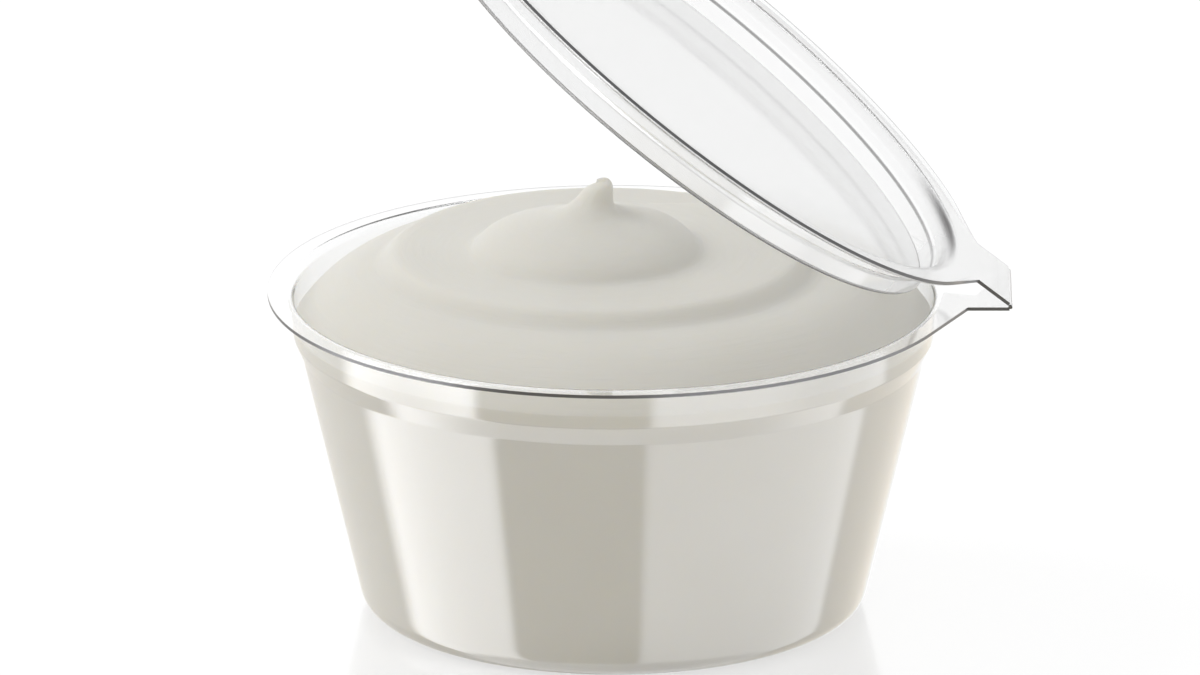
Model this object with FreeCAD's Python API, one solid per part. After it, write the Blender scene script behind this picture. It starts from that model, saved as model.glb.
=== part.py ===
"""Clear hinged portion tub, filled with a soft white dip.

Frame: +Z up, origin at the centre of the tub's underside, hinge on the +X side.
All sizes are in millimetres.

Three pieces are built:
  tub   thermoformed clear cup: base, tapered wall, shoulder, seal band, flange and hinge tab
  lid   thermoformed clear lid with a plug that drops into the seal band, held half open
  dip   the soft filling, swirled into two layers and drawn up to a small peak
"""
import FreeCAD, Part
import math
import os

# Sheet that the tub and the lid are formed from
SHEET = 0.4

# Tub, measured on its outer face
HEIGHT = 38.0
RIM_RADIUS = 40.0
FLANGE_WIDTH = 2.6
SEAL_DEPTH = 5.0
SEAL_DRAFT = 0.35
SHOULDER_DROP = 2.3
SHOULDER_IN = 1.0
WALL_TAPER = 13.3
BASE_CORNER = 3.0
FORMED_CORNER = 0.7

# Shallow stiffening bead pressed up into the base
BEAD_INSET = 7.8
BEAD_WIDTH = 2.4
BEAD_RISE = 0.6

# Lid, measured below the underside of its flange
PLUG_CLEARANCE = 0.12
PLUG_DEPTH = 4.8
PLUG_STEP_DEPTH = 1.9
PLUG_STEP_IN = 0.25
PLUG_STEP_RISE = 0.5
PLUG_DRAFT = 0.15
PLUG_CORNER = 0.5

# Small lip at the edge of the lid's flange, turned out and away from the tub
LIP_OUT = 0.5
LIP_RISE = 0.5
LIP_CORNER = 0.5

# Hinge: two flat tabs that meet on a thin rolled crease
TAB_REACH = 5.7
TAB_ROOT = 0.8
TAB_HALF_WIDTH = 7.0
TAB_GAP = 0.1
CREASE_RADIUS = 0.25
CREASE_CLEARANCE = 0.07
OPEN_ANGLE = 38.0

# Dip: levels are measured up from the top of the tub's flange, widths in from its wall
DIP_CLEARANCE = 0.05
WALL_LEVEL = -3.8
SHOULDER_LEVEL = 2.9
SHOULDER_WIDTH = 13.0
SHOULDER_POWER = 2.7
LAYER_RISE = 1.9
LAYER_MARGIN = 12.5
LAYER_SOFTNESS = 0.85
LAYER_CENTRE = (-2.0, 0.0)
SWIRL_MARGIN = 5.0
SWIRL_FADE_IN = (0.65, 0.95)
SWIRL_FADE_OUT = (1.55, 2.10)
CROWN_RADIUS = 13.0
CROWN_RISE = 4.7
CROWN_SOFTNESS = 0.06
CROWN_CENTRE = (-3.3, -1.5)

# Peak drawn up from the crown, its rises measured from the crown's surface
PEAK_CENTRE = (-1.8, 0.0)
PEAK_RISE = 3.5
PEAK_ROOT = 1.2
PEAK_RADIUS = 1.7
PEAK_ROUND_POWER = 5
PEAK_LEAN = 0.85
PEAK_FLARE = 1.6
PEAK_FLARE_FALL = 1.25
PEAK_FLARE_PULL = 1.2

# How finely the dip's surface is sampled
RING_STEP = 1.1
RING_POINTS = 60
SURFACE_OVERRUN = 2.0
PEAK_RINGS = 12

# Places that follow from the sizes above
SEAL_TOP_RADIUS = RIM_RADIUS - FLANGE_WIDTH
SEAL_FOOT_RADIUS = SEAL_TOP_RADIUS - SEAL_DRAFT
WALL_TOP_RADIUS = SEAL_FOOT_RADIUS - SHOULDER_IN
WALL_TOP = HEIGHT - SEAL_DEPTH - SHOULDER_DROP
BASE_RADIUS = WALL_TOP_RADIUS - WALL_TOP * math.tan(math.radians(WALL_TAPER))
BEAD_RADIUS = BASE_RADIUS - BEAD_INSET
HINGE_X = RIM_RADIUS + TAB_REACH
ROOM_RADIUS = SEAL_TOP_RADIUS - SHEET
SHOULDER_START = ROOM_RADIUS - SHOULDER_WIDTH
LAYER_EDGE = ROOM_RADIUS - LAYER_MARGIN
SWIRL_END = ROOM_RADIUS - SWIRL_MARGIN


def vec(x, y, z):
    """Shorthand for a point or a direction."""
    return FreeCAD.Vector(x, y, z)


def smooth(value):
    """Ease from 0 to 1 as the value goes from 0 to 1, flat at both ends."""
    t = min(max(value, 0.0), 1.0)
    return t * t * (3.0 - 2.0 * t)


def unit(a, b):
    """Unit direction from point a to point b of a flat profile."""
    length = math.hypot(b[0] - a[0], b[1] - a[1])
    return ((b[0] - a[0]) / length, (b[1] - a[1]) / length)


def offset_path(points, distance):
    """Move every stretch of an open profile to its left by a distance and join them mitred.

    Each point is (radius, height, corner): the corner's radius grows on the outside of a bend
    and shrinks on the inside, so the sheet keeps its thickness round the bend.
    """
    moved = []
    last = len(points) - 1
    for i, (r, z, corner) in enumerate(points):
        before = unit(points[max(i - 1, 0)], points[max(i, 1)])
        after = unit(points[min(i, last - 1)], points[min(i + 1, last)])
        turn = before[0] * after[1] - before[1] * after[0]
        scale = distance / (1.0 + before[0] * after[0] + before[1] * after[1])
        shift_r = -(before[1] + after[1]) * scale
        shift_z = (before[0] + after[0]) * scale
        new_corner = corner - math.copysign(distance, turn) if corner else 0.0
        moved.append((r + shift_r, z + shift_z, max(new_corner, 0.0)))
    return moved


def rounded_edges(points):
    """Lines and arcs of an open profile in the XZ plane, with its corners rounded."""
    edges = []
    start = points[0]
    for i in range(1, len(points)):
        corner = points[i][2] if i < len(points) - 1 else 0.0
        end = points[i]
        if corner > 1e-6:
            back = unit(points[i], points[i - 1])
            ahead = unit(points[i], points[i + 1])
            half = 0.5 * math.acos(back[0] * ahead[0] + back[1] * ahead[1])
            reach = corner / math.tan(half)
            bisector = unit((0.0, 0.0), (back[0] + ahead[0], back[1] + ahead[1]))
            crown = corner / math.sin(half) - corner
            enter = (end[0] + back[0] * reach, end[1] + back[1] * reach)
            leave = (end[0] + ahead[0] * reach, end[1] + ahead[1] * reach)
            middle = (end[0] + bisector[0] * crown, end[1] + bisector[1] * crown)
            edges.append(Part.makeLine(vec(start[0], 0, start[1]), vec(enter[0], 0, enter[1])))
            arc = Part.Arc(
                vec(enter[0], 0, enter[1]),
                vec(middle[0], 0, middle[1]),
                vec(leave[0], 0, leave[1]),
            )
            edges.append(arc.toShape())
            start = leave
        else:
            edges.append(Part.makeLine(vec(start[0], 0, start[1]), vec(end[0], 0, end[1])))
            start = end
    return edges


def line_between(a, b):
    """A straight edge between two profile points."""
    return Part.makeLine(vec(a[0], 0, a[1]), vec(b[0], 0, b[1]))


def spin(edges):
    """Turn a closed profile once round the Z axis into a solid."""
    face = Part.Face(Part.Wire(Part.sortEdges(edges)[0]))
    return face.revolve(vec(0, 0, 0), vec(0, 0, 1), 360)


def sheet_turning(outer):
    """A turned shell of the sheet's thickness, from the profile of its outer or lower face."""
    inner = offset_path(outer, SHEET)
    edges = rounded_edges(outer) + rounded_edges(inner)
    edges.append(line_between(outer[0], inner[0]))
    edges.append(line_between(outer[-1], inner[-1]))
    return spin(edges)


def tub_profile():
    """Outer face of the tub from the centre of its base to the edge of its flange."""
    flange_under = HEIGHT - SHEET
    bead_in = BEAD_RADIUS - 0.5 * BEAD_WIDTH
    bead_out = BEAD_RADIUS + 0.5 * BEAD_WIDTH
    bead_slope = 0.5 * BEAD_RISE
    return [
        (0.0, 0.0, 0.0),
        (bead_in, 0.0, FORMED_CORNER),
        (bead_in + bead_slope, BEAD_RISE, FORMED_CORNER),
        (bead_out - bead_slope, BEAD_RISE, FORMED_CORNER),
        (bead_out, 0.0, FORMED_CORNER),
        (BASE_RADIUS, 0.0, BASE_CORNER),
        (WALL_TOP_RADIUS, WALL_TOP, FORMED_CORNER),
        (SEAL_FOOT_RADIUS, HEIGHT - SEAL_DEPTH, FORMED_CORNER),
        (SEAL_TOP_RADIUS, flange_under, FORMED_CORNER),
        (RIM_RADIUS, flange_under, 0.0),
    ]


def lid_profile():
    """Lower face of the shut lid from the centre of its panel to the edge of its lip."""
    seat = HEIGHT
    plug_top = SEAL_TOP_RADIUS - SHEET - PLUG_CLEARANCE
    step_top = plug_top - PLUG_DRAFT
    step_foot = step_top - PLUG_STEP_IN
    return [
        (0.0, seat - PLUG_DEPTH, 0.0),
        (step_foot - PLUG_DRAFT, seat - PLUG_DEPTH, PLUG_CORNER),
        (step_foot, seat - PLUG_STEP_DEPTH - PLUG_STEP_RISE, 0.5 * SHEET),
        (step_top, seat - PLUG_STEP_DEPTH, 0.5 * SHEET),
        (plug_top, seat, FORMED_CORNER + SHEET),
        (RIM_RADIUS, seat, LIP_CORNER),
        (RIM_RADIUS + LIP_OUT, seat + LIP_RISE, 0.0),
    ]


def tab_plate(bottom, top):
    """Upright plate on a tab's outline, from the middle of the flange to just short of the crease.

    Its sides run off the rim on two tangents and end square to the crease.
    """
    end = HINGE_X - TAB_GAP
    root = RIM_RADIUS + TAB_ROOT
    # Each side leaves the rim at the point whose tangent passes through the root's corner.
    tangent_angle = math.atan2(TAB_HALF_WIDTH, root)
    tangent_angle += math.acos(RIM_RADIUS / math.hypot(root, TAB_HALF_WIDTH))
    rim_x = RIM_RADIUS * math.cos(tangent_angle)
    rim_y = RIM_RADIUS * math.sin(tangent_angle)
    side = [(rim_x, rim_y), (root, TAB_HALF_WIDTH), (end, TAB_HALF_WIDTH)]
    outline = [vec(x, y, bottom) for x, y in side]
    outline += [vec(x, -y, bottom) for x, y in reversed(side)]
    plate = Part.Face(Part.makePolygon(outline + [outline[0]])).extrude(vec(0, 0, top - bottom))
    middle_radius = RIM_RADIUS - 0.5 * FLANGE_WIDTH
    opening = Part.makeCylinder(middle_radius, top - bottom + 2 * SHEET, vec(0, 0, bottom - SHEET))
    return plate.cut(opening)


def crease(radius):
    """Round bar on the hinge line, as long as the tabs are wide."""
    start = vec(HINGE_X, -TAB_HALF_WIDTH, HEIGHT)
    return Part.makeCylinder(radius, 2 * TAB_HALF_WIDTH, start, vec(0, 1, 0))


def make_tub():
    """Cup, hinge tab and crease in one piece."""
    cup = sheet_turning(tub_profile())
    tab = tab_plate(HEIGHT - SHEET, HEIGHT)
    return cup.fuse([tab, crease(CREASE_RADIUS)]).removeSplitter()


def make_lid():
    """Lid formed shut, its lip cut away over the tab, hollowed for the crease and turned open."""
    formed = sheet_turning(lid_profile())
    lip_gap = tab_plate(HEIGHT, HEIGHT + 2 * (LIP_RISE + SHEET))
    shut = formed.cut(lip_gap).fuse(tab_plate(HEIGHT, HEIGHT + SHEET))
    lid = shut.cut(crease(CREASE_RADIUS + CREASE_CLEARANCE)).removeSplitter()
    lid.rotate(vec(HINGE_X, 0, HEIGHT), vec(0, 1, 0), OPEN_ANGLE)
    return lid


def room():
    """Space inside the tub, less the dip's clearance from the wall, open far above the peak."""
    inset = SHEET + DIP_CLEARANCE
    wall = offset_path(tub_profile(), inset)[:-1]
    # The flat parts of the floor carry the dip, so there it has no clearance.
    wall = [(r, SHEET if abs(z - inset) < DIP_CLEARANCE else z, corner) for r, z, corner in wall]
    ceiling = 2 * HEIGHT
    wall[-1] = (wall[-1][0], ceiling, 0.0)
    edges = rounded_edges(wall)
    edges.append(line_between(wall[-1], (0.0, ceiling)))
    edges.append(line_between((0.0, ceiling), wall[0]))
    return spin(edges)


def swirl_radius(turn):
    """Distance of the layer's edge from its centre, as it winds clockwise from the right."""
    begins, full = SWIRL_FADE_IN
    weakens, gone = SWIRL_FADE_OUT
    radius = CROWN_RADIUS + (LAYER_EDGE - CROWN_RADIUS) * smooth((turn - begins) / (full - begins))
    return radius + (SWIRL_END - LAYER_EDGE) * smooth((turn - weakens) / (gone - weakens))


def swirl_strength(turn):
    """How much of the layer's rise its edge has, from none at the start to none at the end."""
    begins, full = SWIRL_FADE_IN
    weakens, gone = SWIRL_FADE_OUT
    return smooth((turn - begins) / (full - begins)) * smooth((gone - turn) / (gone - weakens))


def layer_height(x, y):
    """Rise of the swirled layer: a soft step down across each winding of its edge."""
    dx = x - LAYER_CENTRE[0]
    dy = y - LAYER_CENTRE[1]
    radius = math.hypot(dx, dy)
    first = (-math.atan2(dy, dx) / (2 * math.pi)) % 1.0
    rise = 0.0
    for winding in range(3):
        turn = first + winding
        inside = (swirl_radius(turn) - radius) / LAYER_SOFTNESS
        rise += swirl_strength(turn) * 0.5 * (1.0 + math.tanh(inside))
    return LAYER_RISE * rise


def crown_height(x, y):
    """Rise of the rounded crown: a flattened half ellipsoid that eases into a soft foot."""
    radius = math.hypot(x - CROWN_CENTRE[0], y - CROWN_CENTRE[1]) / CROWN_RADIUS
    inside = 1.0 - radius * radius
    return CROWN_RISE * math.sqrt(0.5 * (inside + math.hypot(inside, CROWN_SOFTNESS)))


def shoulder_height(x, y):
    """Broad mound that is level in the middle and rolls down to the wall."""
    outward = max(math.hypot(x, y) - SHOULDER_START, 0.0) / SHOULDER_WIDTH
    return SHOULDER_LEVEL + (WALL_LEVEL - SHOULDER_LEVEL) * outward ** SHOULDER_POWER


def surface_height(x, y):
    """Height of the dip's surface above the tub's base, without the peak."""
    return HEIGHT + shoulder_height(x, y) + layer_height(x, y) + crown_height(x, y)


def ring_centre(radius):
    """Centre of a sampled ring: under the crown when small, on the tub's axis when large."""
    share = smooth((radius - CROWN_RADIUS) / (LAYER_EDGE - CROWN_RADIUS))
    return (CROWN_CENTRE[0] * (1.0 - share), CROWN_CENTRE[1] * (1.0 - share))


def surface_ring(radius):
    """Points on the dip's surface all round one ring, the first repeated to close it."""
    cx, cy = ring_centre(radius)
    points = []
    for i in range(RING_POINTS + 1):
        angle = 2 * math.pi * (i % RING_POINTS) / RING_POINTS
        x = cx + radius * math.cos(angle)
        y = cy + radius * math.sin(angle)
        points.append(vec(x, y, surface_height(x, y)))
    return points


def dip_surface():
    """One smooth face through rings that grow from a point to beyond the tub's wall."""
    widest = SEAL_TOP_RADIUS + SURFACE_OVERRUN
    count = int(math.ceil(widest / RING_STEP))
    rings = [surface_ring(widest * i / count) for i in range(count + 1)]
    surface = Part.BSplineSurface()
    surface.interpolate(rings)
    return surface.toShape()


def make_peak():
    """Small drawn-up tip: round on top and leaning, upright below, and flared into the crown."""
    crown_top = surface_height(PEAK_CENTRE[0], PEAK_CENTRE[1])
    rings = []
    for i in range(PEAK_RINGS):
        # The rings crowd towards the tip, where the peak closes quickly.
        rise = PEAK_RISE - (PEAK_RISE + PEAK_ROOT) * (1.0 - (i + 0.5) / PEAK_RINGS) ** 2
        share = max(rise / PEAK_RISE, 0.0) ** PEAK_ROUND_POWER
        flare = PEAK_FLARE * math.exp(-rise / PEAK_FLARE_FALL)
        radius = PEAK_RADIUS * math.sqrt(1.0 - share) + flare * (1.0 - share)
        pull = 1.0 - math.exp(-flare / PEAK_FLARE_PULL)
        x = PEAK_CENTRE[0] + PEAK_LEAN * share
        x += (CROWN_CENTRE[0] - x) * pull
        y = PEAK_CENTRE[1] + (CROWN_CENTRE[1] - PEAK_CENTRE[1]) * pull
        rings.append(Part.Wire(Part.makeCircle(radius, vec(x, y, crown_top + rise))))
    return Part.makeLoft(rings, True, False)


def make_dip():
    """The filling: the tub's room cut down to the swirled surface, with its peak."""
    above = dip_surface().extrude(vec(0, 0, 3 * HEIGHT))
    body = room().cut(above)
    return body.fuse(make_peak()).removeSplitter()


def save(name, shape):
    """Write one piece to its own file and report its size."""
    solid = shape.Solids[0]
    solid.exportStep("parts/" + name + ".step")
    print(name, "solids", len(shape.Solids), "valid", shape.isValid(), "volume", round(solid.Volume, 1))


def main():
    os.makedirs("parts", exist_ok=True)
    save("tub", make_tub())
    save("lid", make_lid())
    save("dip", make_dip())


main()
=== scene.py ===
"""Clear hinged portion tub holding a soft white dip, with its finishes and its studio.

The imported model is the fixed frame. Four pieces are worked out here as whole numpy arrays: the
clear tub, the lid and the swirled dip stand for its nodes, and the hinge's crease is drawn over
it. Sizes inside the classes are in millimetres, and meshes are written in metres.
"""
import logging
import math
from dataclasses import dataclass
from enum import Enum
from typing import Sequence

import bpy
import numpy as np
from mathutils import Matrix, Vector


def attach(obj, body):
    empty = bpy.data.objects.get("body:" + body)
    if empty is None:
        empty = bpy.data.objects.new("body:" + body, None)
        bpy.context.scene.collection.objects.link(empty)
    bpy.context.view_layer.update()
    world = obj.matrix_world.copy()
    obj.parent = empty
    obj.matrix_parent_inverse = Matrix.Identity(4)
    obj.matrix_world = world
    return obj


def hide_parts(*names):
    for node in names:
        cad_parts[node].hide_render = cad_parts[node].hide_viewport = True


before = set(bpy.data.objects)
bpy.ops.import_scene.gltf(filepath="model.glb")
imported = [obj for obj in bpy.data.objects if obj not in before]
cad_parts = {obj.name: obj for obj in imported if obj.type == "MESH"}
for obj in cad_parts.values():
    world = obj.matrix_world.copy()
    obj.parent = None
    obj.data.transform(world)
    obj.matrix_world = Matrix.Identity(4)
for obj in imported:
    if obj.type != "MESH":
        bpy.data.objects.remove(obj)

MM = 0.001
LOG = logging.getLogger("dip_tub")

FULL_TURN = 2.0 * math.pi
WHITE = (1.0, 1.0, 1.0)
# Points of a line that are closer than this, in millimetres, are one.
TOUCHING = 1e-5
# Where a straight stretch gets its points; those near its ends keep its shading flat.
RUN_SHARES = (0.0, 0.03, 0.5, 0.97, 1.0)
# Edges that turn by more degrees than this are shaded sharp.
SHARP_ANGLE = 35.0

Array = np.ndarray
Colour = tuple[float, float, float]
Point = tuple[float, float, float]


class Body(Enum):
    """The two bodies that the hinge joins."""

    TUB = "tub"
    LID = "lid"


class Slot(Enum):
    """Names of the finishes."""

    CLEAR_TUB = "clear_tub"
    CLEAR_LID = "clear_lid"
    WHITE_DIP = "white_dip"


class Zone(Enum):
    """Material places on a formed sheet."""

    FACE = 0
    CUT_EDGE = 1


# Curves and surfaces as arrays


def smooth(value: Array) -> Array:
    """Ease from 0 to 1 as the value goes from 0 to 1: three squares less two cubes.

    Args:
        value: Any numbers; outside 0 to 1 they are held at the ends.

    Returns:
        The eased numbers, in the same shape.
    """
    t = np.clip(value, 0.0, 1.0)
    return t * t * (3.0 - 2.0 * t)


def unit(vectors: Array) -> Array:
    """Vectors along the last axis, each divided by its length."""
    return vectors / np.linalg.norm(vectors, axis=-1, keepdims=True)


def even_turns(columns: int) -> Array:
    """Angles in radians of evenly spaced columns round the axis, from 0."""
    return np.arange(columns) * 2.0 * math.pi / columns


def from_zero(turns: Array) -> Array:
    """How far each angle is from 0, either way round."""
    return np.abs((turns + math.pi) % FULL_TURN - math.pi)


@dataclass(frozen=True)
class Profile:
    """An open line in the radius and height plane.

    Each corner has a rounding radius, and the strength of the dark line of shade painted on its
    bend.
    """

    points: Array
    corners: Array
    painted_shades: Array

    def offset(self, distance: float) -> "Profile":
        """Move each stretch to its left and join them mitred.

        Each corner moves along the sum of its stretches' normals over one plus the cosine of the
        bend. Roundings grow on the outside of a bend and shrink on the inside.

        Args:
            distance: How far to move, in millimetres.

        Returns:
            The moved profile.
        """
        ways = unit(np.diff(self.points, axis=0))
        before = np.vstack([ways[:1], ways])
        after = np.vstack([ways, ways[-1:]])
        normals = np.stack([-before[:, 1] - after[:, 1], before[:, 0] + after[:, 0]], axis=1)
        scale = distance / (1.0 + np.sum(before * after, axis=1, keepdims=True))
        turn = before[:, 0] * after[:, 1] - before[:, 1] * after[:, 0]
        grown = np.maximum(self.corners - np.sign(turn) * distance, 0.0)
        corners = np.where(self.corners > 0.0, grown, 0.0)
        return Profile(self.points + normals * scale, corners, self.painted_shades)

    def sampled(self, arc_steps: int = 9) -> tuple[Array, Array]:
        """Points along the rounded line, with a mark of the shade painted on each bend.

        A rounding is swept between its two tangent points as seen from its centre, by the sines
        of the remaining and the passed angle over the sine of the whole.

        Args:
            arc_steps: Points on each rounding.

        Returns:
            Points as (count, 2), and marks of painted shade from 0 on a flat to the corner's shade
            at the middle of a bend.
        """
        inner = self.points[1:-1]
        back = unit(self.points[:-2] - inner)
        ahead = unit(self.points[2:] - inner)
        half = 0.5 * np.arccos(np.clip(np.sum(back * ahead, axis=1), -1.0, 1.0))
        radius = self.corners[1:-1]
        reach = (radius / np.tan(half))[:, None]
        centre = inner + unit(back + ahead) * (radius / np.sin(half))[:, None]
        first = inner + back * reach - centre
        last = inner + ahead * reach - centre
        sweep = (math.pi - 2.0 * half)[:, None, None]
        t = np.linspace(0.0, 1.0, arc_steps)[None, :, None]
        arcs = centre[:, None] + (
            np.sin((1.0 - t) * sweep) * first[:, None] + np.sin(t * sweep) * last[:, None]
        ) / np.sin(sweep)
        starts = np.vstack([self.points[:1], centre + last])
        ends = np.vstack([centre + first, self.points[-1:]])
        share = np.array(RUN_SHARES)[None, :, None]
        runs = starts[:, None] * (1.0 - share) + ends[:, None] * share
        line = np.vstack([np.concatenate([runs[:-1], arcs], axis=1).reshape(-1, 2), runs[-1]])
        flat = np.zeros(share.size)
        swell = np.concatenate([flat, np.sqrt(np.sin(math.pi * t.ravel()).clip(0.0))])
        # Painted shade: a dark mark that swells to the corner's strength at the middle of each
        # bend.
        painted_marks = self.painted_shades[1:-1, None] * swell
        bend = np.concatenate([painted_marks.ravel(), flat])
        steps = np.linalg.norm(np.diff(line, axis=0), axis=1)
        keep = np.concatenate([[True], steps > TOUCHING])
        return line[keep], bend[keep]


@dataclass
class SkinMesh:
    """A closed skin on a grid of rows and columns, whose first and last rows are poles."""

    name: str
    grid: Array

    def faces(self) -> tuple[Array, Array]:
        """Corner numbers of the triangles at both poles and of the quads between.

        Returns:
            The corner numbers in one flat array, and the number of corners of each face.
        """
        rows, columns = self.grid.shape[:2]
        inner = rows - 2
        column = np.arange(columns)
        following = (column + 1) % columns
        row = np.arange(inner - 1)[:, None] * columns
        quads = np.stack(
            [row + column, row + following, row + columns + following, row + columns + column],
            axis=-1,
        ).reshape(-1, 4)
        first_pole = inner * columns
        last_row = (inner - 1) * columns
        top = np.stack([np.full(columns, first_pole), following, column], axis=-1)
        bottom = np.stack(
            [np.full(columns, first_pole + 1), last_row + column, last_row + following], axis=-1
        )
        corners = np.concatenate([top.ravel(), quads.ravel(), bottom.ravel()])
        sizes = np.concatenate([np.full(columns, 3), np.full(len(quads), 4), np.full(columns, 3)])
        return corners, sizes

    def per_vertex(self, values: Array) -> Array:
        """Values given on the grid, in the order of the mesh's vertices."""
        inner = values[1:-1].reshape((-1,) + values.shape[2:])
        return np.concatenate([inner, values[:1, 0], values[-1:, 0]])

    def per_face(self, row_values: Array) -> Array:
        """Values given for each strip between two rows, in the order of the mesh's faces."""
        return np.repeat(row_values, self.grid.shape[1])

    def build(self) -> bpy.types.Object:
        """Write the skin as a smooth mesh in metres, turned so that its faces point outwards.

        The enclosed volume is the sum over all faces of a third of each face's height above the
        origin times its area; where it comes out negative, every face is turned over.

        Returns:
            The new object, linked to the scene and standing at the origin.
        """
        vertices = self.per_vertex(self.grid) * MM
        corners, sizes = self.faces()
        starts = np.concatenate([[0], np.cumsum(sizes)[:-1]])
        a, b, c = (vertices[corners[starts + k]] for k in range(3))
        last = vertices[corners[starts + sizes - 1]]
        volume = np.sum(np.cross(a, b) * c) + np.sum(np.cross(a, c) * last)
        if volume < 0.0:
            flipped = np.empty_like(corners)
            place = np.arange(len(corners)) - np.repeat(starts, sizes)
            flipped[np.repeat(starts + sizes - 1, sizes) - place] = corners
            corners = flipped
        mesh = bpy.data.meshes.new(self.name)
        mesh.vertices.add(len(vertices))
        mesh.vertices.foreach_set("co", vertices.ravel())
        mesh.loops.add(len(corners))
        mesh.loops.foreach_set("vertex_index", corners.astype(np.int32))
        mesh.polygons.add(len(sizes))
        mesh.polygons.foreach_set("loop_start", starts.astype(np.int32))
        mesh.polygons.foreach_set("use_smooth", np.ones(len(sizes), dtype=bool))
        mesh.update(calc_edges=True)
        mesh.validate()
        return stand(self.name, mesh)


def stand(name: str, data: bpy.types.ID) -> bpy.types.Object:
    """Put a new object with this data at the scene's origin."""
    thing = bpy.data.objects.new(name, data)
    bpy.context.scene.collection.objects.link(thing)
    return thing


def set_attribute(thing: bpy.types.Object, name: str, values: Array) -> None:
    """Store one number or one vector for each vertex under a name.

    Args:
        thing: The piece.
        name: The attribute's name, which a material reads.
        values: An array of (count,) or (count, 3).
    """
    vector = values.ndim == 2
    kind = "FLOAT_VECTOR" if vector else "FLOAT"
    layer = thing.data.attributes.new(name, kind, "POINT")
    layer.data.foreach_set("vector" if vector else "value", values.astype(np.float32).ravel())


# Node helpers


class Nodes:
    """Short calls for laying out the nodes of one tree."""

    def __init__(self, tree: bpy.types.NodeTree) -> None:
        """Keep the tree and clear what it holds."""
        self.tree = tree
        tree.nodes.clear()

    def add(self, kind: str, settings: dict | None = None, **inputs: object) -> bpy.types.Node:
        """Add a node, set its properties and fill or link its inputs.

        Args:
            kind: The node's type, without the leading "ShaderNode".
            settings: Properties of the node.
            inputs: Input names with underscores for spaces; a socket is linked, a value set.

        Returns:
            The new node.
        """
        node = self.tree.nodes.new("ShaderNode" + kind)
        for key, value in (settings or {}).items():
            setattr(node, key, value)
        for key, value in inputs.items():
            self.feed(node.inputs[key.replace("_", " ")], value)
        return node

    def feed(self, socket: bpy.types.NodeSocket, value: object) -> None:
        """Link a socket to another, or set its value."""
        if isinstance(value, bpy.types.NodeSocket):
            self.tree.links.new(value, socket)
        else:
            socket.default_value = value

    def math(self, operation: str, *values: object) -> bpy.types.NodeSocket:
        """A Math node's result from up to three values or sockets."""
        node = self.add("Math", {"operation": operation})
        for socket, value in zip(node.inputs, values):
            self.feed(socket, value)
        return node.outputs[0]

    def mix(self, factor: object, a: object, b: object) -> bpy.types.NodeSocket:
        """A colour between two, from the first at 0 to the second at 1."""
        node = self.add("Mix", {"data_type": "RGBA"})
        colours = [s for s in node.inputs if s.type == "RGBA"]
        self.feed(node.inputs["Factor"], factor)
        self.feed(colours[0], a)
        self.feed(colours[1], b)
        return next(s for s in node.outputs if s.type == "RGBA")

    def ramp(self, value: object, start: float, end: float) -> bpy.types.NodeSocket:
        """A soft step from 0 where the value is at the start to 1 where it is at the end."""
        node = self.add("MapRange", {"interpolation_type": "SMOOTHSTEP"}, Value=value)
        node.inputs["From Min"].default_value = start
        node.inputs["From Max"].default_value = end
        return node.outputs[0]

    def scaled(self, colour: object, factor: object) -> bpy.types.NodeSocket:
        """A colour times a number."""
        node = self.add("VectorMath", {"operation": "SCALE"}, Scale=factor)
        self.feed(node.inputs[0], colour)
        return node.outputs[0]

    def noise(self, place: object, scale: float, detail: float = 2.0) -> bpy.types.NodeSocket:
        """Soft noise from 0 to 1 read at a place."""
        return self.add("TexNoise", Vector=place, Scale=scale, Detail=detail).outputs["Fac"]

    def place(self) -> bpy.types.NodeSocket:
        """The point on the piece, in metres."""
        return self.add("TexCoord").outputs["Object"]

    def shader(self, kind: str, **inputs: object) -> bpy.types.NodeSocket:
        """The shader of a new node."""
        return self.add("Bsdf" + kind, **inputs).outputs[0]

    def blend(self, factor: object, first: object, second: object) -> bpy.types.NodeSocket:
        """A shader between two, from the first at 0 to the second at 1."""
        node = self.add("MixShader")
        for socket, value in zip(node.inputs, (factor, first, second)):
            self.feed(socket, value)
        return node.outputs[0]

    def either(self, path: object, *kinds: str) -> bpy.types.NodeSocket:
        """1 for a ray of either of two kinds, and 0 for others."""
        return self.math("MAXIMUM", *(path["Is %s Ray" % kind] for kind in kinds))


def rgba(colour: Colour) -> tuple[float, float, float, float]:
    """A colour with full opacity."""
    return (*colour, 1.0)


def new_material(name: str) -> tuple[bpy.types.Material, Nodes]:
    """An empty node material and the helper for its tree."""
    material = bpy.data.materials.new(name)
    material.use_nodes = True
    return material, Nodes(material.node_tree)


# Finishes


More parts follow.
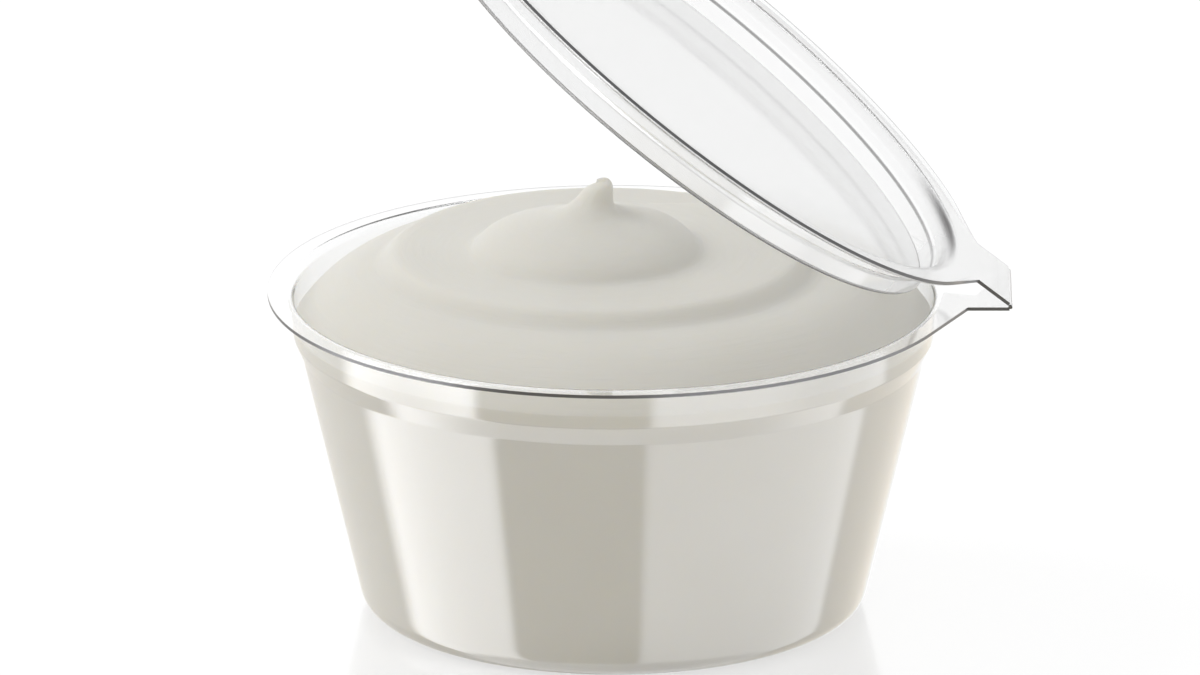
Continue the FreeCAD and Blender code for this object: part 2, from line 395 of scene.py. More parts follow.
@dataclass(frozen=True)
class ClearSheetFinish:
    """Clear glossy thermoformed sheet: colourless on its flats, with dark shade painted where it
    bends.
    """

    name: str
    tint: Colour = (0.985, 0.987, 0.988)
    edge_on_tint: Colour = (0.93, 0.935, 0.94)
    edge_on_power: float = 6.0
    roughness: float = 0.025
    ior: float = 1.5
    flow_scale: float = 55.0
    flow_height: float = 0.02
    flow_strength: float = 0.15
    # Colour of the painted shade on the bends, a dark sheet mixed in by the bend attribute.
    painted_bend_shade_colour: Colour = (0.05, 0.045, 0.045)
    painted_bend_shade_roughness: float = 0.4
    haze_colour: Colour = (0.93, 0.93, 0.93)
    haze_roughness: float = 0.6
    haze: float = 0.02
    edge_on_haze: float = 0.0

    def build(self) -> bpy.types.Material:
        """Make the material.

        Lamp rays and soft bounced light pass straight through, so what is inside stays lit. The
        bend attribute mixes in a dark sheet, painted shade for the dark lines of the bends, the
        edge-on share deepens the tint, and a white haze gathers with that share's square.

        Returns:
            The new material.
        """
        material, n = new_material(self.name)
        edge_on = n.add("LayerWeight", Blend=0.5).outputs["Facing"]
        share = n.math("POWER", edge_on, self.edge_on_power)
        tint = n.mix(share, rgba(self.tint), rgba(self.edge_on_tint))
        flow = n.noise(n.place(), self.flow_scale)
        bump = n.add(
            "Bump", Strength=self.flow_strength, Distance=self.flow_height * MM, Height=flow
        )
        sheet = n.shader(
            "Principled",
            Base_Color=tint,
            Roughness=self.roughness,
            IOR=self.ior,
            Normal=bump.outputs[0],
            Transmission_Weight=1.0,
        )
        haze = n.shader(
            "Principled", Base_Color=rgba(self.haze_colour), Roughness=self.haze_roughness
        )
        veil = n.math("MULTIPLY_ADD", n.math("POWER", edge_on, 2.0), self.edge_on_haze, self.haze)
        hazed = n.blend(n.math("MINIMUM", veil, 1.0), sheet, haze)
        # Painted shade: a dark sheet laid over the bends by the bend attribute.
        painted_shade_sheet = n.shader(
            "Principled", Base_Color=rgba(self.painted_bend_shade_colour), Roughness=self.painted_bend_shade_roughness
        )
        bend = n.add("Attribute", {"attribute_name": "bend"}).outputs["Fac"]
        with_painted_shade = n.blend(bend, hazed, painted_shade_sheet)
        through = n.either(n.add("LightPath").outputs, "Shadow", "Diffuse")
        clear = n.shader("Transparent", Color=rgba(self.tint))
        n.add("OutputMaterial", Surface=n.blend(through, with_painted_shade, clear))
        return material


@dataclass(frozen=True)
class CutEdgePaintedShadeFinish:
    """Trimmed edge of the sheet, painted dark as shade where the light that runs inside it is lost.
    """

    name: str
    # Painted shade: the near-black colour stands for the light lost inside the edge.
    colour: Colour = (0.06, 0.06, 0.062)
    lighter: float = 2.2
    wear_scale: float = 160.0
    roughness: float = 0.3
    inside_clearness: float = 0.6

    def build(self) -> bpy.types.Material:
        """Make the material: a dark satin line of painted shade with faint changes along the cut.

        Seen from inside the sheet the cut is mostly clear, so a far edge stays light.

        Returns:
            The new material.
        """
        material, n = new_material(self.name)
        wear = n.noise(n.place(), self.wear_scale)
        worn = tuple(self.lighter * c for c in self.colour)
        colour = n.mix(wear, rgba(self.colour), rgba(worn))
        edge = n.shader("Principled", Base_Color=colour, Roughness=self.roughness)
        inside = n.add("NewGeometry").outputs["Backfacing"]
        clearness = n.math("MULTIPLY", inside, self.inside_clearness)
        n.add("OutputMaterial", Surface=n.blend(clearness, edge, n.shader("Transparent")))
        return material


@dataclass(frozen=True)
class CreamFinish:
    """Soft satin off-white cream with faint streaks that follow the swirl."""

    name: str
    colour: Colour = (0.77, 0.755, 0.70)
    shade: Colour = (0.73, 0.71, 0.645)
    cloud_scale: float = 70.0
    roughness: tuple[float, float] = (0.44, 0.58)
    streak_scale: float = 1.4
    streak_roughness: float = 0.55
    streak_height: float = 0.2
    streak_strength: float = 0.4
    specular: float = 0.35
    soft_share: float = 0.5
    soft_radius: Colour = (1.0, 0.85, 0.6)
    soft_depth: float = 3.0

    def build(self) -> bpy.types.Material:
        """Make the material.

        The swirl attribute holds the ring's radius and a point on a small circle for the angle,
        so noise read on it draws out into long streaks round the swirl with no seam.

        Returns:
            The new material.
        """
        material, n = new_material(self.name)
        swirl = n.add("Attribute", {"attribute_name": "swirl"}).outputs["Vector"]
        streaks = n.noise(swirl, self.streak_scale, 4.0)
        streaks.node.inputs["Roughness"].default_value = self.streak_roughness
        clouds = n.noise(n.place(), self.cloud_scale, 3.0)
        bump = n.add(
            "Bump", Strength=self.streak_strength, Distance=self.streak_height * MM, Height=streaks
        )
        smoothest, roughest = self.roughness
        gloss = n.add("MapRange", Value=streaks, To_Min=smoothest, To_Max=roughest)
        cream = n.shader(
            "Principled",
            Base_Color=n.mix(clouds, rgba(self.colour), rgba(self.shade)),
            Roughness=gloss.outputs[0],
            Normal=bump.outputs[0],
            Subsurface_Weight=self.soft_share,
            Subsurface_Radius=self.soft_radius,
            Subsurface_Scale=self.soft_depth * MM,
            Specular_IOR_Level=self.specular,
        )
        n.add("OutputMaterial", Surface=cream)
        return material


# The object


@dataclass
class Hinge:
    """Two flat tabs that meet on a thin rolled crease."""

    x: float = 45.7
    z: float = 38.0
    tab_root: float = 0.8
    half_width: float = 7.0
    crease_radius: float = 0.25
    open_angle: float = 38.0
    crease_soft_share: float = 0.3
    crease_columns: int = 24
    tab_columns: tuple[int, int, int] = (6, 4, 10)
    corner_room: float = 0.004

    def outline(self, rim: float, end: float) -> Array:
        """Corners of half a tab's outline: the tangent point on the rim, the root and the end."""
        root = rim + self.tab_root
        seen = math.acos(rim / math.hypot(root, self.half_width))
        angle = math.atan2(self.half_width, root) + seen
        leave = (rim * math.cos(angle), rim * math.sin(angle))
        return np.array([leave, (root, self.half_width), (end, self.half_width)])

    def reach(self, turns: Array, rim: float, end: float) -> Array:
        """Radius of the flange's outline at each angle, with the tab as part of it.

        On a straight side the radius is the side's distance from the axis divided by the cosine
        of the angle from its normal; outside the tab it is the rim's own.

        Args:
            turns: Angles about the axis, in radians, the tab lying at 0.
            rim: Radius of the round rim.
            end: Distance of the tab's end from the axis.

        Returns:
            The radius at each angle.
        """
        leave, root, tip = self.outline(rim, end)
        angle = from_zero(turns)
        limits = np.arctan2([leave[1], root[1], tip[1]], [leave[0], root[0], tip[0]])
        tangent = rim / np.cos(angle - limits[0])
        side = self.half_width / np.maximum(np.sin(angle), 1e-6)
        front = end / np.cos(angle)
        inside = np.where(angle < limits[2], front, np.where(angle < limits[1], side, tangent))
        return np.where(angle < limits[0], inside, rim)

    def clear_of_tab(self, turns: Array, rim: float, end: float) -> Array:
        """Share of the rim's own shape at each angle: 0 on the tab's end, 1 clear of its sides."""
        leave, root, _ = self.outline(rim, end)
        first, last = math.atan2(root[1], root[0]), math.atan2(leave[1], leave[0])
        angle = from_zero(turns)
        return smooth((angle - first) / (last - first))

    def turns(self, rim: float, end: float, columns: int) -> Array:
        """Angles of the grid's columns: even round the rim, closer on the tab, and on its corners.

        Args:
            rim: Radius of the round rim.
            end: Distance of the tab's end from the axis.
            columns: Columns in a whole even round.

        Returns:
            The angles in radians, rising.
        """
        corners = self.outline(rim, end)
        leave, root, tip = np.arctan2(corners[:, 1], corners[:, 0])
        spans = zip((0.0, tip, root), (tip, root, leave), self.tab_columns)
        fine = np.concatenate([np.linspace(*span) for span in spans])
        even = even_turns(columns)
        clear = np.minimum(even, FULL_TURN - even) > leave + self.corner_room
        spread = np.concatenate([even[clear], fine, (-fine) % FULL_TURN])
        return np.unique(np.round(spread, 7))

    def opened(self, points: Array) -> Array:
        """Points of the shut lid turned open about the crease.

        Args:
            points: Positions with x, y and z along the last axis.

        Returns:
            The same points after a turn about the hinge line.
        """
        angle = math.radians(self.open_angle)
        dx = points[..., 0] - self.x
        dz = points[..., 2] - self.z
        x = self.x + dx * math.cos(angle) + dz * math.sin(angle)
        z = self.z - dx * math.sin(angle) + dz * math.cos(angle)
        return np.stack([x, points[..., 1], z], axis=-1)

    def crease_grid(self) -> Array:
        """Skin of the crease: a straight bar along the hinge line with its end edges rounded."""
        thick, length = self.crease_radius, self.half_width
        soft = self.crease_soft_share * thick
        line = Profile(
            np.array([(0.0, -length), (thick, -length), (thick, length), (0.0, length)]),
            np.array([0.0, soft, soft, 0.0]),
            np.zeros(4),
        ).sampled(5)[0]
        turn = even_turns(self.crease_columns)
        radius = line[:, :1]
        along = np.broadcast_to(line[:, 1:], (len(line), self.crease_columns))
        return np.stack(
            [self.x + radius * np.cos(turn), along, self.z + radius * np.sin(turn)], axis=-1
        )


@dataclass
class FormedSheet:
    """A thermoformed shell turned about the axis, whose flange carries the hinge's tab."""

    sheet: float = 0.4
    rim_radius: float = 40.0
    flange_width: float = 2.6
    height: float = 38.0
    formed_corner: float = 0.7
    columns: int = 360

    @property
    def flange_level(self) -> float:
        """Height of the flange's underside."""
        return self.height - self.sheet

    def turned(self, outer: Profile, hinge: Hinge, end: float) -> tuple[Array, Array, Array]:
        """Grid of the closed sheet round a profile, with the flange drawn out into the tab.

        The profile and its copy offset by the sheet's thickness are joined at the rim and turned
        about the axis. From the middle of the flange outwards the radii are stretched so that the
        edge lands on the outline with the tab, where a lip is laid flat.

        Args:
            outer: Outer or lower face, from the centre to the rim.
            hinge: The hinge whose tab the flange carries.
            end: Distance of the tab's end from the axis.

        Returns:
            The grid, the painted shade mark of each row, and True for each strip that is the cut
            edge.
        """
        inner = outer.offset(self.sheet)
        lower, lower_painted_shade = outer.sampled()
        upper, upper_painted_shade = inner.sampled()
        line = np.vstack([lower, upper[::-1]])
        bend = np.concatenate([lower_painted_shade, upper_painted_shade[::-1]])
        is_lower = (np.arange(len(line)) < len(lower))[:, None]
        turns = hinge.turns(self.rim_radius, end, self.columns)
        middle = self.rim_radius - 0.5 * self.flange_width
        radius, z = line[:, :1], line[:, 1:]
        lip = hinge.clear_of_tab(turns, self.rim_radius, end)[None, :]
        edge = np.where(is_lower, lower[-1, 0], upper[-1, 0])
        reach = hinge.reach(turns, self.rim_radius, end)[None, :]
        outline = reach + (edge - self.rim_radius) * lip
        stretched = middle + (radius - middle) * (outline - middle) / (edge - middle)
        flat = self.flange_level + np.where(is_lower, 0.0, self.sheet)
        on_flange = radius > middle
        radius = np.where(on_flange, stretched, radius)
        z = np.where(on_flange, flat + (z - flat) * lip, z)
        grid = np.stack([radius * np.cos(turns), radius * np.sin(turns), z], axis=-1)
        strips = np.arange(len(line) - 1) == len(lower) - 1
        return grid, bend, strips

    def dressed(
        self,
        name: str,
        grid: Array,
        bend: Array,
        strips: Array,
        finishes: Sequence[bpy.types.Material],
    ) -> bpy.types.Object:
        """Write the sheet's mesh and give its faces and its cut edge their finishes.

        Args:
            name: Name of the piece.
            grid: Positions in millimetres.
            bend: Painted shade mark of each row, or of each point.
            strips: True for each strip of faces on the cut edge.
            finishes: The sheet's finish, then the cut edge's.

        Returns:
            The piece.
        """
        skin = SkinMesh(name, grid)
        thing = skin.build()
        painted_marks = bend if bend.ndim == 2 else np.broadcast_to(bend[:, None], grid.shape[:2])
        # The bend attribute carries the painted shade of the bends to the sheet's finish.
        set_attribute(thing, "bend", skin.per_vertex(painted_marks))
        for finish in finishes:
            thing.data.materials.append(finish)
        zones = np.where(skin.per_face(strips), Zone.CUT_EDGE.value, Zone.FACE.value)
        thing.data.polygons.foreach_set("material_index", zones.astype(np.int32))
        thing.data.set_sharp_from_angle(angle=math.radians(SHARP_ANGLE))
        return thing


@dataclass
class Tub(FormedSheet):
    """Tapered clear cup with a shoulder, a seal band, a flange and the hinge's crease."""

    seal_depth: float = 5.0
    seal_draft: float = 0.35
    shoulder_drop: float = 2.3
    shoulder_in: float = 1.0
    wall_taper: float = 13.3
    base_corner: float = 3.0
    bead_inset: float = 7.8
    bead_width: float = 2.4
    bead_rise: float = 0.6
    tab_gap: float = 0.1

    def profile(self) -> Profile:
        """Outer face from the centre of the base to the edge of the flange."""
        seal_top = self.rim_radius - self.flange_width
        seal_foot = seal_top - self.seal_draft
        wall_radius = seal_foot - self.shoulder_in
        wall_top = self.height - self.seal_depth - self.shoulder_drop
        base = wall_radius - wall_top * math.tan(math.radians(self.wall_taper))
        bead = base - self.bead_inset
        half, slope = 0.5 * self.bead_width, 0.5 * self.bead_rise
        under = self.flange_level
        points = [
            (0.0, 0.0),
            (bead - half, 0.0),
            (bead - half + slope, self.bead_rise),
            (bead + half - slope, self.bead_rise),
            (bead + half, 0.0),
            (base, 0.0),
            (wall_radius, wall_top),
            (seal_foot, self.height - self.seal_depth),
            (seal_top, under),
            (self.rim_radius, under),
        ]
        f = self.formed_corner
        corners = [0.0, f, f, f, f, self.base_corner, f, f, f, 0.0]
        # Strength of the dark line of shade painted on each bend.
        painted_shades = [0.0, 0.06, 0.06, 0.06, 0.06, 0.08, 0.05, 0.05, 0.0, 0.0]
        return Profile(np.array(points), np.array(corners), np.array(painted_shades))

    def build(self, hinge: Hinge, finishes: Sequence[bpy.types.Material]) -> list[bpy.types.Object]:
        """Make the cup and the crease.

        Args:
            hinge: The hinge that the tab runs to.
            finishes: The sheet's finish, then the cut edge's.

        Returns:
            The two pieces.
        """
        grid, bend, strips = self.turned(self.profile(), hinge, hinge.x - self.tab_gap)
        cup = self.dressed("tub_shell", grid, bend, strips, finishes)
        crease = SkinMesh("hinge_crease", hinge.crease_grid()).build()
        crease.data.materials.append(finishes[0])
        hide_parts("tub")
        for piece in (cup, crease):
            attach(piece, Body.TUB.value)
        return [cup, crease]


@dataclass
class Lid(FormedSheet):
    """Clear lid with a stepped plug, formed shut and turned open about the crease."""

    plug_clearance: float = 0.12
    plug_depth: float = 4.8
    plug_step_depth: float = 1.9
    plug_step_in: float = 0.25
    plug_step_rise: float = 0.5
    plug_draft: float = 0.15
    plug_corner: float = 0.5
    lip_out: float = 0.5
    lip_rise: float = 0.5
    lip_corner: float = 0.5
    tab_gap: float = 0.33
    # Shares of the painted shade on the back of the plug's corner, the front of its step and the
    # back of the flange's bend, then a dark reflection painted on that bend beside the hinge.
    back_corner_painted_shade: float = 0.15
    front_step_painted_shade: float = 0.2
    back_bend_painted_shade: float = 0.4
    painted_glint_radius: float = 37.2
    painted_glint_width: float = 0.45
    painted_glint_turn: float = 9.0
    painted_glint_spread: float = 24.0
    columns: int = 560

    @property
    def flange_level(self) -> float:
        """Height of the shut flange's underside, which rests on the tub's."""
        return self.height

    def profile(self) -> Profile:
        """Lower face of the shut lid from the centre of its panel to the edge of its lip."""
        plug_top = self.rim_radius - self.flange_width - self.sheet - self.plug_clearance
        step_top = plug_top - self.plug_draft
        step_foot = step_top - self.plug_step_in
        points = [
            (0.0, self.height - self.plug_depth),
            (step_foot - self.plug_draft, self.height - self.plug_depth),
            (step_foot, self.height - self.plug_step_depth - self.plug_step_rise),
            (step_top, self.height - self.plug_step_depth),
            (plug_top, self.height),
            (self.rim_radius, self.height),
            (self.rim_radius + self.lip_out, self.height + self.lip_rise),
        ]
        soft = 2.0 * self.sheet
        bend = self.formed_corner + self.sheet
        corners = [0.0, self.plug_corner, soft, soft, bend, self.lip_corner, 0.0]
        # Strength of the dark line of shade painted on each bend.
        painted_shades = [0.0, 0.75, 0.45, 0.0, 0.12, 0.05, 0.0]
        return Profile(np.array(points), np.array(corners), np.array(painted_shades))

    def painted_shade_lines(self, grid: Array, bend: Array) -> Array:
        """Where on the shut lid shade is painted dark on its bends.

        Shade is painted on the plug's bottom corner along the front and on its step along the
        back, and a black painted reflection, a glint, lies on the flange's bend beside the hinge.

        Args:
            grid: Positions on the shut lid.
            bend: Painted shade mark of each row.

        Returns:
            The painted shade of each point, from 0 to 1.
        """
        x, y, level = np.moveaxis(grid, -1, 0)
        radius = np.hypot(x, y)
        turn = np.degrees(np.arctan2(y, x))
        back = smooth(0.5 + y / self.rim_radius)
        on_corner = level < self.height - self.plug_depth + 3.0 * self.plug_corner
        on_step = level < self.height - 0.5 * self.flange_width
        share = np.where(
            on_corner,
            1.0 - (1.0 - self.back_corner_painted_shade) * back,
            np.where(
                on_step,
                self.front_step_painted_shade + (1.0 - self.front_step_painted_shade) * back,
                1.0 - (1.0 - self.back_bend_painted_shade) * back,
            ),
        )
        # Painted reflection: a black glint laid on the flange's bend beside the hinge.
        on_bend = smooth(1.0 - np.abs(radius - self.painted_glint_radius) / self.painted_glint_width)
        painted_glint = on_bend * smooth(1.0 - np.abs(turn - self.painted_glint_turn) / self.painted_glint_spread)
        return np.minimum(bend[:, None] * share + painted_glint, 1.0)

    def build(self, hinge: Hinge, finishes: Sequence[bpy.types.Material]) -> list[bpy.types.Object]:
        """Make the lid.

        Args:
            hinge: The hinge that it opens about.
            finishes: The sheet's finish, then the cut edge's.

        Returns:
            The one piece, in a list.
        """
        grid, bend, strips = self.turned(self.profile(), hinge, hinge.x - self.tab_gap)
        bend = self.painted_shade_lines(grid, bend)
        lid = self.dressed("lid_shell", hinge.opened(grid), bend, strips, finishes)
        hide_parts("lid")
        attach(lid, Body.LID.value)
        return [lid]


@dataclass
class Dip:
    """The filling: a soft mound that winds up in one spiral layer to a crown and a small peak."""

    tub: Tub
    bite: float = 0.12
    wall_level: float = -3.8
    shoulder_level: float = 2.9
    shoulder_start: float = 24.0
    shoulder_width: float = 13.0
    shoulder_power: float = 2.7
    layer_rise: float = 1.9
    layer_edge: float = 24.5
    layer_softness: float = 0.85
    layer_centre: tuple[float, float] = (-2.0, 0.0)
    swirl_end: float = 32.0
    fade_in: tuple[float, float] = (0.65, 0.95)
    fade_out: tuple[float, float] = (1.55, 2.10)
    crown_radius: float = 13.0
    crown_rise: float = 4.7
    crown_softness: float = 0.06
    crown_centre: tuple[float, float] = (-3.3, -1.5)
    peak_centre: tuple[float, float] = (-1.76, 0.0)
    peak_height: float = 3.61
    peak_radius: float = 1.72
    peak_lean: float = 0.85
    peak_round_power: int = 5
    peak_flare: float = 1.25
    peak_foot: float = 2.1
    peak_foot_power: int = 3
    peak_pull: float = 1.2
    peak_waist: float = 0.45
    peak_end: float = 0.002
    tip_rings: int = 25
    foot_rings: int = 34
    crown_foot_reach: float = 1.0
    layer_lag: float = 0.8
    ring_steps: tuple[float, float, float] = (0.3, 0.08, 0.28)
    wall_steps: int = 400
    streak_round: float = 2.2
    columns: int = 300

    def swirl_radius(self, turn: Array) -> Array:
        """Distance of the layer's edge from its centre as it winds clockwise from the right."""
        begins, full = self.fade_in
        weakens, gone = self.fade_out
        grown = smooth((turn - begins) / (full - begins))
        leaving = smooth((turn - weakens) / (gone - weakens))
        radius = self.crown_radius + (self.layer_edge - self.crown_radius) * grown
        return radius + (self.swirl_end - self.layer_edge) * leaving

    def swirl_strength(self, turn: Array) -> Array:
        """Share of the layer's rise along its edge, from none at the start to none at the end."""
        begins, full = self.fade_in
        weakens, gone = self.fade_out
        return smooth((turn - begins) / (full - begins)) * smooth((gone - turn) / (gone - weakens))

    def layer_height(self, x: Array, y: Array) -> Array:
        """Rise of the layer: half of one plus a hyperbolic tangent across each winding's edge."""
        dx = x - self.layer_centre[0]
        dy = y - self.layer_centre[1]
        radius = np.hypot(dx, dy)[..., None]
        turn = ((-np.arctan2(dy, dx) / FULL_TURN) % 1.0)[..., None] + np.arange(3)
        inside = (self.swirl_radius(turn) - radius) / self.layer_softness
        windings = self.swirl_strength(turn) * 0.5 * (1.0 + np.tanh(inside))
        return self.layer_rise * np.sum(windings, axis=-1)

    def crown_height(self, x: Array, y: Array) -> Array:
        """Rise of the crown: a flattened half ellipsoid that eases into a soft foot."""
        radius = np.hypot(x - self.crown_centre[0], y - self.crown_centre[1]) / self.crown_radius
        inside = 1.0 - radius * radius
        return self.crown_rise * np.sqrt(0.5 * (inside + np.hypot(inside, self.crown_softness)))

    def shoulder_height(self, x: Array, y: Array) -> Array:
        """Mound that is level in the middle and falls to the wall with a power of the distance."""
        outward = np.maximum(np.hypot(x, y) - self.shoulder_start, 0.0) / self.shoulder_width
        fall = self.wall_level - self.shoulder_level
        return self.shoulder_level + fall * outward**self.shoulder_power

    def surface(self, x: Array, y: Array) -> Array:
        """Height of the surface above the tub's base, without the peak."""
        mound = self.tub.height + self.shoulder_height(x, y)
        return mound + self.layer_height(x, y) + self.crown_height(x, y)

    def peak_rings(self) -> tuple[Array, Array, Array]:
        """Rings of the peak from its tip down and out over the crown.

        At each rise the ring's radius is the peak's own, closed at the tip by the root of one
        less a fifth power, plus a flare that grows as the logarithm of the foot over the rise.

        Returns:
            Radius and rise of each ring, and its centre as (count, 2).
        """
        down = np.arange(self.tip_rings) / self.tip_rings
        upper = 1.0 - down**2 * (1.0 - self.peak_waist)
        lower = np.geomspace(self.peak_waist, self.peak_end, self.foot_rings)
        share = np.concatenate([upper, lower])
        rise = self.peak_height * share
        tipped = share**self.peak_round_power
        closed = np.sqrt(np.maximum(1.0 - tipped, 0.0))
        power = self.peak_foot_power
        flare = self.peak_flare / power * np.log1p((self.peak_foot / rise) ** power) * closed
        radius = self.peak_radius * closed + flare
        away = (1.0 - np.exp(-flare / self.peak_pull))[:, None]
        tip = np.array(self.peak_centre) + np.stack([self.peak_lean * tipped, 0.0 * share], axis=1)
        centre = tip * (1.0 - away) + np.array(self.crown_centre) * away
        return radius, rise, centre

    def outer_rings(self, start: float, rim: float) -> tuple[Array, Array]:
        """Rings from the crown to the wall, closest at the crown's foot.

        Args:
            start: Radius of the last of the peak's rings.
            rim: Radius where the surface meets the wall.

        Returns:
            Radius of each ring, and its centre as (count, 2).
        """
        near = self.crown_radius - self.crown_foot_reach
        far = self.crown_radius + self.crown_foot_reach
        spans = zip((start + 0.25, near, far), (near, far, rim - 0.1), self.ring_steps)
        radius = np.concatenate([np.arange(*span) for span in spans] + [[rim]])
        leaves = self.crown_radius + self.layer_lag
        to_layer = smooth((radius - leaves) / (self.layer_edge - leaves))[:, None]
        to_axis = smooth((radius - self.layer_edge) / (rim - 1.0 - self.layer_edge))[:, None]
        crown, layer = np.array(self.crown_centre), np.array(self.layer_centre)
        centre = crown * (1.0 - to_layer) + layer * to_layer
        return radius, centre * (1.0 - to_axis)

    def wall_line(self) -> tuple[Array, float]:
        """Line of the filling's side and base, which bites into the inner face of the wall.

        Returns:
            Points from where the surface meets the wall down to the centre of the base, and the
            radius at that meeting.
        """
        inside = self.tub.profile().offset(self.tub.sheet - self.bite)
        foot, top = inside.points[-3], inside.points[-2]
        level = np.linspace(0.0, 1.0, self.wall_steps)
        radius = foot[0] + (top[0] - foot[0]) * level
        height = foot[1] + (top[1] - foot[1]) * level
        gap = np.abs(self.surface(radius, 0.0 * radius) - height)
        meet = int(np.argmin(gap))
        points = np.vstack([inside.points[:-2], [(radius[meet], height[meet])]])
        points[0, 0] = 0.0
        corners = np.concatenate([inside.corners[:-2], [0.0]])
        return Profile(points, corners, 0.0 * corners).sampled(7)[0][::-1], float(radius[meet])

    def grids(self) -> tuple[Array, Array]:
        """Grid of the whole filling, and the coordinates that its streaks follow.

        Returns:
            Positions, and for each the ring's radius with a point on a circle for its angle.
        """
        wall, rim = self.wall_line()
        radius, rise, centre = self.peak_rings()
        outer, outer_centre = self.outer_rings(float(radius[-1]), rim)
        radius = np.concatenate([radius, outer])[:, None]
        rise = np.concatenate([rise, 0.0 * outer])[:, None]
        centre = np.vstack([centre, outer_centre])
        turn = even_turns(self.columns)
        x = centre[:, :1] + radius * np.cos(turn)
        y = centre[:, 1:] + radius * np.sin(turn)
        top = np.stack([x, y, self.surface(x, y) + rise], axis=-1)
        side_radius = wall[1:, :1]
        level = np.broadcast_to(wall[1:, 1:], (len(wall) - 1, self.columns))
        side = np.stack([side_radius * np.cos(turn), side_radius * np.sin(turn), level], axis=-1)
        rings = np.vstack([radius, 2.0 * rim - side_radius])
        spread = np.broadcast_to(rings, (len(rings), self.columns))
        around = np.broadcast_to(turn, spread.shape)
        circle = self.streak_round
        swirl = np.stack([spread, circle * np.cos(around), circle * np.sin(around)], axis=-1)
        return np.vstack([top, side]), swirl

    def build(self, finish: bpy.types.Material) -> bpy.types.Object:
        """Make the filling, which stands for the plain solid and reaches just into the wall."""
        grid, swirl = self.grids()
        skin = SkinMesh("dip_swirl", grid)
        thing = skin.build()
        set_attribute(thing, "swirl", skin.per_vertex(swirl))
        thing.data.materials.append(finish)
        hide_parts("dip")
        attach(thing, Body.TUB.value)
        return thing


# Studio


@dataclass(frozen=True)
class Strip:
    """A tall upright soft light that shows in gloss: its bearing, spread and colour."""

    bearing: float
    half_spread: float
    edge: float
    glow: Colour


@dataclass(frozen=True)
class Lamp:
    """A large square soft lamp: its place and size in metres, and its power."""

    name: str
    place: Point
    size: float
    power: float


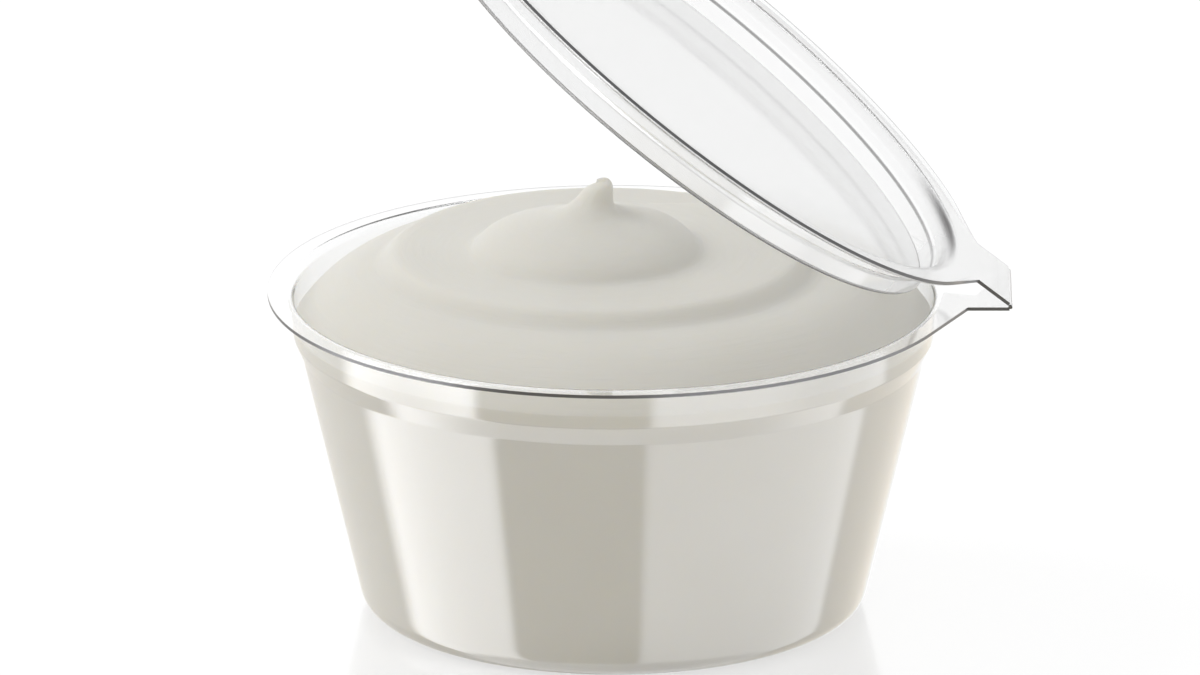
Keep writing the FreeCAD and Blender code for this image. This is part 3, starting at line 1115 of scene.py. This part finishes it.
@dataclass
class Studio:
    """Pale floor, soft daylight from all round, two large soft lamps and the camera."""

    lens: float = 850.0
    sensor: float = 36.0
    clip: tuple[float, float] = (0.1, 20.0)
    target: Point = (-1.6, -1.8, 32.69)
    pitch: float = 17.79
    distance: float = 3272.0
    floor_size: float = 6.0
    floor_colour: Colour = (0.84, 0.82, 0.79)
    floor_seen: Colour = (0.25, 0.25, 0.25)
    floor_lift: float = 0.62
    floor_roughness: float = 0.12
    ambient: float = 0.56
    gloss_level: float = 1.25
    steep_level: float = 2.4
    band_lift: float = 0.5
    under_level: tuple[float, float] = (-0.05, -0.2)
    above_steep: tuple[float, float] = (-0.88, -0.76)
    above_slant: tuple[float, float] = (-0.62, -0.5)
    front_bearings: tuple[float, float] = (85.0, 55.0)
    strips: tuple[Strip, ...] = (
        Strip(-147.0, 32.0, 4.0, (0.95, 0.92, 0.87)),
        Strip(-82.5, 31.0, 7.0, (6.2, 6.2, 6.3)),
        Strip(-18.5, 33.0, 3.0, (0.46, 0.37, 0.15)),
        Strip(66.5, 52.0, 3.5, (3.7, 3.7, 3.75)),
        Strip(141.5, 23.0, 6.0, (1.5, 1.4, 1.25)),
    )
    lamps: tuple[Lamp, ...] = (
        Lamp("key_lamp", (-1.05, 0.25, 0.85), 0.7, 7.4),
        Lamp("fill_lamp", (0.7, -0.5, 1.1), 1.0, 2.4),
    )
    lamp_aim: Point = (0.0, 0.0, 0.03)

    def floor(self) -> bpy.types.Object:
        """Lay a wide pale floor that keeps the soft shadow and a faint mirror image."""
        material, n = new_material("pale_floor")
        path = n.add("LightPath").outputs
        seen = n.either(path, "Camera", "Transmission")
        surface = n.shader(
            "Principled",
            Base_Color=n.mix(seen, rgba(self.floor_colour), rgba(self.floor_seen)),
            Roughness=self.floor_roughness,
            Emission_Color=rgba(WHITE),
            Emission_Strength=n.math("MULTIPLY", seen, self.floor_lift),
        )
        away = n.shader("Transparent")
        n.add("OutputMaterial", Surface=n.blend(path["Is Glossy Ray"], surface, away))
        half = 0.5 * self.floor_size
        mesh = bpy.data.meshes.new("studio_floor")
        corners = [(-half, -half, 0.0), (half, -half, 0.0), (half, half, 0.0), (-half, half, 0.0)]
        mesh.from_pydata(corners, [], [(0, 1, 2, 3)])
        mesh.materials.append(material)
        thing = stand("studio_floor", mesh)
        return thing

    def world(self) -> None:
        """Light the scene from all round, show white behind it, and put soft strips in its gloss.

        The strips stand below a level line and above a steep one, so that only walls show them.
        Under the steep line the gloss is brighter, and an upright wall's front is lifted.
        """
        world = bpy.data.worlds.new("studio_world")
        world.use_nodes = True
        bpy.context.scene.world = world
        n = Nodes(world.node_tree)
        way = n.add("SeparateXYZ", Vector=n.add("TexCoord").outputs["Generated"]).outputs
        height = way["Z"]
        turn = n.math("ARCTAN2", way["X"], n.math("MULTIPLY", way["Y"], -1.0))
        bearing = n.math("MULTIPLY", turn, 180.0 / math.pi)
        lowered = n.ramp(height, *self.under_level)
        raised = n.ramp(height, *self.above_steep)
        level = n.mix(raised, rgba((self.steep_level,) * 3), rgba((self.gloss_level,) * 3))
        strips: object = level
        for strip in self.strips:
            off = n.math("ABSOLUTE", n.math("SUBTRACT", bearing, strip.bearing))
            share = n.ramp(off, strip.half_spread + strip.edge, strip.half_spread - strip.edge)
            strips = n.mix(share, strips, rgba(strip.glow))
        glow = n.mix(n.math("MULTIPLY", lowered, raised), level, strips)
        front = n.ramp(n.math("ABSOLUTE", bearing), *self.front_bearings)
        upright = n.math("MULTIPLY", n.ramp(height, *self.above_slant), lowered)
        lift = n.math("MULTIPLY_ADD", n.math("MULTIPLY", front, upright), self.band_lift, 1.0)
        path = n.add("LightPath").outputs
        colour = n.mix(path["Is Glossy Ray"], rgba((self.ambient,) * 3), n.scaled(glow, lift))
        colour = n.mix(n.either(path, "Camera", "Transmission"), colour, rgba(WHITE))
        background = n.add("Background", Color=colour, Strength=1.0)
        n.add("OutputWorld", Surface=background.outputs[0])

    def light(self, lamp: Lamp) -> None:
        """Hang one large square soft lamp that faces the object."""
        data = bpy.data.lights.new(lamp.name, "AREA")
        data.shape = "SQUARE"
        data.size = lamp.size
        data.energy = lamp.power
        thing = stand(lamp.name, data)
        thing.location = lamp.place
        aim = Vector(self.lamp_aim) - Vector(lamp.place)
        thing.rotation_euler = aim.to_track_quat("-Z", "Y").to_euler()
        thing.visible_glossy = False
        thing.visible_transmission = False

    def camera(self) -> None:
        """Stand the camera far off with a long lens, tilted down along the tub's front."""
        data = bpy.data.cameras.new("camera")
        data.lens = self.lens
        data.sensor_width = self.sensor
        data.clip_start, data.clip_end = self.clip
        thing = stand("camera", data)
        tilt = math.radians(self.pitch)
        x, y, z = self.target
        back, up = self.distance * math.cos(tilt), self.distance * math.sin(tilt)
        thing.location = Vector((x, y - back, z + up)) * MM
        thing.rotation_euler = (math.radians(90.0) - tilt, 0.0, 0.0)
        bpy.context.scene.camera = thing

    def build(self) -> None:
        """Set up the floor, the lights and the camera."""
        self.floor()
        self.world()
        for lamp in self.lamps:
            self.light(lamp)
        self.camera()
        bpy.context.scene.view_settings.view_transform = "Standard"


def main() -> None:
    """Dress the model and set up its studio, then log the face count of each piece."""
    logging.basicConfig(level=logging.INFO, format="%(name)s: %(message)s")
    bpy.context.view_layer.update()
    hinge = Hinge()
    tub = Tub()
    tub_finishes = [ClearSheetFinish("tub_sheet").build(), CutEdgePaintedShadeFinish("tub_cut_edge_painted_shade").build()]
    lid_sheet = ClearSheetFinish("lid_sheet", roughness=0.07, flow_height=0.004, edge_on_haze=0.55)
    lid_finishes = [lid_sheet.build(), CutEdgePaintedShadeFinish("lid_cut_edge_painted_shade").build()]
    pieces = tub.build(hinge, tub_finishes)
    pieces += Lid().build(hinge, lid_finishes)
    pieces.append(Dip(tub).build(CreamFinish("cream").build()))
    for piece in pieces:
        LOG.info("%s: %d faces", piece.name, len(piece.data.polygons))
    Studio().build()


if __name__ == "__main__":
    main()
